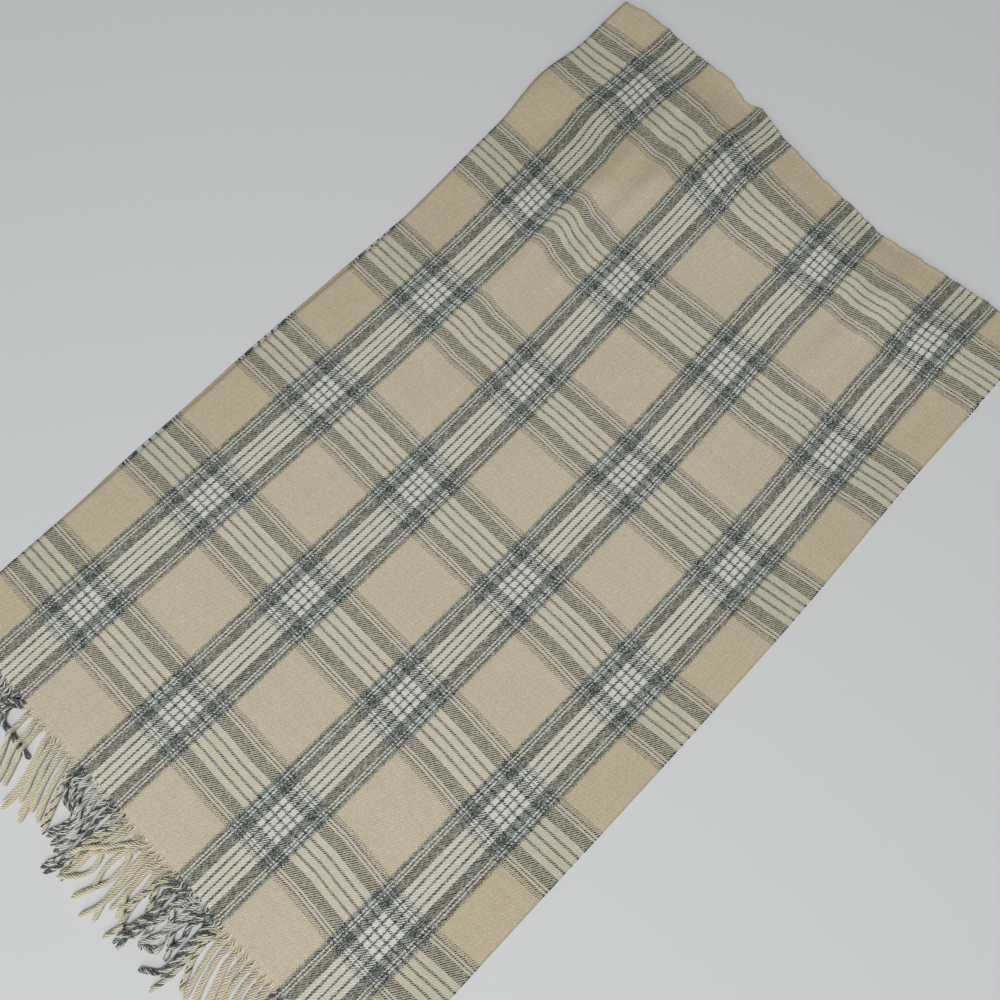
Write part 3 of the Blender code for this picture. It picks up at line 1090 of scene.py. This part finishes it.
def yarn_colours(colours):
    """The yarns' colours by the names that the charts use."""
    return {"beige": tuple(colours.beige), "ivory": tuple(colours.ivory), "charcoal": tuple(colours.charcoal)}


def dull_wool(sketch):
    """Sets the finish that the cloth and the strands share."""
    shader = sketch.shader
    shader.inputs["Roughness"].default_value = WOOL_ROUGHNESS
    shader.inputs["Specular IOR Level"].default_value = WOOL_SPECULAR
    shader.inputs["Sheen Weight"].default_value = WOOL_SHEEN
    shader.inputs["Sheen Roughness"].default_value = WOOL_SHEEN_ROUGHNESS


def tinted_cloth(sketch, colour, ground, along, across, from_middle):
    """The cloth's colour with painted shade near the fold, a darker tint near the long edges and a painted
    highlight round the turn.

    ground is 1 where the ground shows and 0 on stripes.
    """
    math_node = sketch.math
    from_fold = math_node("ABSOLUTE", math_node("SUBTRACT", along, FOLD_AT))
    lean = math_node("MAXIMUM", math_node("SUBTRACT", across, FOLD_SHADE_LEAN), 0.0)
    # Painted shade near the fold, with a warmer tint on the ground.
    fold_shade = sketch.rise(math_node("SUBTRACT", from_fold, lean), *SHADE_FROM_FOLD)
    near_edge = math_node("MULTIPLY", sketch.rise(from_middle, *TINT_FROM_MIDDLE), TINT_AT_EDGES)
    tint = sketch.mix(ground, (*STRIPE_TINT, 1.0), (*GROUND_TINT, 1.0))
    colour = sketch.tinted(math_node("MAXIMUM", fold_shade, near_edge), colour, tint)
    # A painted highlight round the turn.
    return sketch.tinted(sketch.rise(from_fold, *FOLD_HIGHLIGHT), colour, (*FOLD_HIGHLIGHT_TINT, 1.0))


def twill_material(name, sizes, colours, face):
    """Two-and-two twill, thread by thread. face 0 is the cloth's right side and 1 its back."""
    sketch = Sketch(name)
    math_node = sketch.math
    along, across = sketch.measures("weave")
    along = math_node("ADD", along, sketch.wander(PICK_WANDER, PICK_WANDER_SEED))
    across = math_node("ADD", across, sketch.wander(END_WANDER, END_WANDER_SEED))
    middle = (FAR_SELVEDGE + NEAR_SELVEDGE) / 2 * MM
    from_middle = math_node("ABSOLUTE", math_node("SUBTRACT", across, middle))
    ends = sketch.threads(across, FIRST_ROW, END_PITCH)
    picks = sketch.threads(along, FIRST_COLUMN, PICK_PITCH)
    end = math_node("FLOOR", ends)
    pick = math_node("FLOOR", picks)
    yarns = yarn_colours(colours)
    warp, warp_heather = sketch.chart(end, ENDS_IN_REPEAT, WARP_CHART, yarns)
    weft, weft_heather = sketch.chart(pick, PICKS_IN_REPEAT, WEFT_CHART, yarns)

    # Floats: a warp float runs over two picks or more, as the warp is closer set and the heathered
    # yarn is fuller, and the weft shows in what is left of every four.
    warp_steps = math_node("ADD", math_node("ADD", end, picks), FLOAT_STEPS * face)
    weft_steps = math_node("ADD", math_node("ADD", ends, pick), FLOAT_STEPS * face)
    warp_run = math_node("FLOORED_MODULO", warp_steps, TWILL_REPEAT)
    weft_run = math_node("FLOORED_MODULO", weft_steps, TWILL_REPEAT)
    fuller = math_node("MULTIPLY", math_node("SUBTRACT", warp_heather, weft_heather), HEATHER_COVER)
    warp_float = math_node("ADD", fuller, FLOAT_STEPS + (WARP_LEAD if face == 0 else -WARP_LEAD))
    selvedge = math_node("GREATER_THAN", from_middle, CUT_WIDTH / 2 - SELVEDGE_WIDTHS[face] * MM)
    weft_up = math_node("MAXIMUM", math_node("GREATER_THAN", warp_run, warp_float), selvedge)
    warp_height = sketch.float_height(math_node("DIVIDE", warp_run, warp_float), ends)
    weft_share = math_node("DIVIDE", math_node("SUBTRACT", weft_run, FLOAT_STEPS), FLOAT_STEPS)
    weft_height = sketch.float_height(weft_share, picks)
    height = sketch.choice(weft_up, warp_height, weft_height)

    # Colour: each float has its own draw, by its thread and its number along that thread.
    warp_number = math_node("FLOOR", math_node("DIVIDE", warp_steps, TWILL_REPEAT))
    weft_number = math_node("FLOOR", math_node("DIVIDE", weft_steps, TWILL_REPEAT))
    float_across = sketch.choice(weft_up, end, weft_number)
    float_along = sketch.choice(weft_up, warp_number, math_node("ADD", pick, PICK_FLOATS_FROM))
    heather = sketch.choice(weft_up, warp_heather, weft_heather)
    colour = sketch.mix(weft_up, warp, weft)
    colour, draw = sketch.flecked(colour, heather, float_across, float_along)

    # Shade: painted shade in the sunk gaps and on the sunk weft, uneven threads and floats, short fuzz and
    # cloudy patches.
    sunk = math_node("MULTIPLY_ADD", weft_up, (SUNK_WEFT_SHADE if face == 0 else 1.0) - 1.0, 1.0)
    shade = math_node("MULTIPLY", sketch.toned(height, HEIGHT_SHADE_TONE), sunk)
    uneven = math_node("ADD", sketch.uneven(end), sketch.uneven(math_node("ADD", pick, PICK_TONES_FROM)))
    uneven = math_node("MULTIPLY", sketch.toned(uneven, THREAD_TONE), sketch.toned(draw, FLOAT_TONE))
    fuzz = sketch.toned(sketch.noise(FUZZ_SCALE), FUZZ_TONE)
    cloudy = sketch.toned(sketch.noise(CLOUDY_SCALE), CLOUDY_TONE)
    shade = math_node("MULTIPLY", math_node("MULTIPLY", shade, fuzz), math_node("MULTIPLY", uneven, cloudy))
    shaded = sketch.mix(1.0, colour, shade, "MULTIPLY")

    weaker = math_node("MINIMUM", sketch.saturation(warp), sketch.saturation(weft))
    ground = sketch.rise(weaker, *GROUND_SATURATION)
    # Painted shade near the fold, a darker tint near the long edges and a painted highlight round the turn.
    shaded = tinted_cloth(sketch, shaded, ground, along, across, from_middle)
    sketch.join(shaded, sketch.shader.inputs["Base Color"])
    sketch.relief(height, CLOTH_RELIEF, sizes.thread_depth)
    dull_wool(sketch)
    return sketch.material


def strand_material(sizes, colours):
    """Yarn of the twisted strands, which keeps the colours of the warp ends that it is made of."""
    sketch = Sketch("fringe_yarn")
    math_node = sketch.math
    across, out = sketch.measures("yarn")
    ends = sketch.threads(across, FIRST_ROW, END_PITCH)
    end = math_node("FLOOR", ends)
    yarns = yarn_colours(colours)
    for yarn, tint in STRAND_TINTS.items():
        yarns[yarn] = tuple(np.multiply(yarns[yarn], tint))
    colour, heather = sketch.chart(end, ENDS_IN_REPEAT, WARP_CHART, yarns)
    stretch = math_node("FLOOR", math_node("DIVIDE", out, FLECK_LENGTH))
    colour, _ = sketch.flecked(colour, heather, end, stretch)

    # Shade: painted shade at the sides of the round ends and in the grooves between yarns, uneven ends and
    # short fuzz.
    rounded = sketch.round_thread(ends)
    outward = sketch.node("ShaderNodeAttribute", attribute_name="outward").outputs["Fac"]
    groove = sketch.toned(math_node("MAXIMUM", outward, 0.0), STRAND_GROOVE_SHADE)
    shade = math_node("MULTIPLY", sketch.toned(rounded, STRAND_ROUND_SHADE), groove)
    uneven = sketch.toned(sketch.uneven(end), STRAND_THREAD_TONE)
    fuzz = sketch.toned(sketch.noise(FUZZ_SCALE), STRAND_FUZZ_TONE)
    shade = math_node("MULTIPLY", shade, math_node("MULTIPLY", uneven, fuzz))
    sketch.join(sketch.mix(1.0, colour, shade, "MULTIPLY"), sketch.shader.inputs["Base Color"])
    sketch.relief(rounded, STRAND_RELIEF, sizes.thread_depth)
    dull_wool(sketch)
    sketch.shader.inputs["Sheen Weight"].default_value = STRAND_SHEEN
    return sketch.material


# ---- stage ----


def make_floor(colour):
    """The plain surface under the scarf."""
    deselect_all()
    bpy.ops.mesh.primitive_plane_add(size=FLOOR_SIZE)
    floor = bpy.context.active_object
    floor.name = "floor"
    sketch = Sketch("pale_floor")
    sketch.shader.inputs["Base Color"].default_value = (*colour, 1.0)
    sketch.shader.inputs["Roughness"].default_value = FLOOR_ROUGHNESS
    sketch.shader.inputs["Specular IOR Level"].default_value = FLOOR_SPECULAR
    floor.data.materials.append(sketch.material)
    return floor


def add_light(scene, name, kind, place, strength):
    """A light at a place in the frame, turned to its origin."""
    light = bpy.data.lights.new(name, kind)
    light.energy = strength
    holder = bpy.data.objects.new(name, light)
    scene.collection.objects.link(holder)
    holder.location = place
    holder.rotation_euler = (-holder.location).to_track_quat("-Z", "Y").to_euler()
    return light


def light_room(scene):
    """An even room, a soft window and a low sky that fills from the side."""
    world = bpy.data.worlds.new("soft_room")
    world.use_nodes = True
    background = world.node_tree.nodes["Background"]
    background.inputs["Color"].default_value = (*DAYLIGHT, 1.0)
    background.inputs["Strength"].default_value = ROOM_STRENGTH
    scene.world = world
    window = add_light(scene, "window", "AREA", WINDOW_PLACE, WINDOW_POWER)
    window.shape = "RECTANGLE"
    window.size, window.size_y = WINDOW_SIZE
    low_sky = add_light(scene, "low_sky", "SUN", LOW_SKY_PLACE, LOW_SKY_STRENGTH)
    low_sky.angle = LOW_SKY_ANGLE
    low_sky.color = DAYLIGHT


def place_camera(scene):
    """The camera above the scarf, looking steeply down."""
    lens = bpy.data.cameras.new("camera")
    lens.lens = LENS
    lens.sensor_width = SENSOR
    camera = bpy.data.objects.new("camera", lens)
    scene.collection.objects.link(camera)
    right = Vector(CAMERA_RIGHT).normalized()
    back = -Vector(CAMERA_LOOK).normalized()
    up = back.cross(right).normalized()
    right = up.cross(back)
    turned = Matrix((right, up, back)).transposed().to_4x4()
    place = Vector(CAMERA_PLACE) + Vector(PLAN_SHIFT * MM)
    camera.matrix_world = Matrix.Translation(place) @ turned
    scene.camera = camera


# ---- operators ----


class SCARF_OT_cloth(bpy.types.Operator):
    """Lay the folded plaid cloth, one sheet for both layers and the turn between them"""

    bl_idname = "scarf.cloth"
    bl_label = "Plaid cloth"

    def execute(self, context):
        sizes = context.scene.scarf_sizes
        colours = context.scene.scarf_colours
        cloth = make_cloth(sizes)
        cloth.data.materials.append(twill_material("twill_face", sizes, colours, 0))
        cloth.data.materials.append(twill_material("twill_back", sizes, colours, 1))
        finish_piece(cloth, "plaid_cloth", "under_layer", "upper_layer", "fold_turn")
        return {"FINISHED"}


class SCARF_OT_fringe(bpy.types.Operator):
    """Twist the warp ends of both layers into strands and lay them, band by band"""

    bl_idname = "scarf.fringe"
    bl_label = "Twisted fringe"

    def execute(self, context):
        sizes = context.scene.scarf_sizes
        yarn = strand_material(sizes, context.scene.scarf_colours)
        pieces = make_fringe(sizes)
        for piece in pieces:
            piece.data.materials.append(yarn)
        cloth = bpy.data.objects.get("plaid_cloth")
        if cloth is None:
            raise RuntimeError("the cloth is made before its fringe")
        return {"FINISHED"}


class SCARF_OT_stage(bpy.types.Operator):
    """Set the plain floor, the soft light and the camera"""

    bl_idname = "scarf.stage"
    bl_label = "Stage"

    def execute(self, context):
        scene = context.scene
        make_floor(scene.scarf_colours.floor)
        light_room(scene)
        place_camera(scene)
        scene.view_settings.view_transform = "Standard"
        return {"FINISHED"}


class SCARF_PT_panel(bpy.types.Panel):
    """Buttons for each piece, in the 3D view's sidebar"""

    bl_label = "Folded blanket scarf"
    bl_idname = "SCARF_PT_panel"
    bl_space_type = "VIEW_3D"
    bl_region_type = "UI"
    bl_category = "Scarf"

    def draw(self, context):
        for operator in (SCARF_OT_cloth, SCARF_OT_fringe, SCARF_OT_stage):
            self.layout.operator(operator.bl_idname)
        for group in (context.scene.scarf_sizes, context.scene.scarf_colours):
            for key in group.__annotations__:
                self.layout.prop(group, key)


CLASSES = (ScarfSizes, ScarfColours, SCARF_OT_cloth, SCARF_OT_fringe, SCARF_OT_stage, SCARF_PT_panel)


def register():
    for cls in CLASSES:
        bpy.utils.register_class(cls)
    bpy.types.Scene.scarf_sizes = PointerProperty(type=ScarfSizes)
    bpy.types.Scene.scarf_colours = PointerProperty(type=ScarfColours)


def unregister():
    del bpy.types.Scene.scarf_colours
    del bpy.types.Scene.scarf_sizes
    for cls in reversed(CLASSES):
        bpy.utils.unregister_class(cls)


def main():
    register()
    bpy.ops.scarf.cloth()
    bpy.ops.scarf.fringe()
    bpy.ops.scarf.stage()


if __name__ == "__main__":
    main()
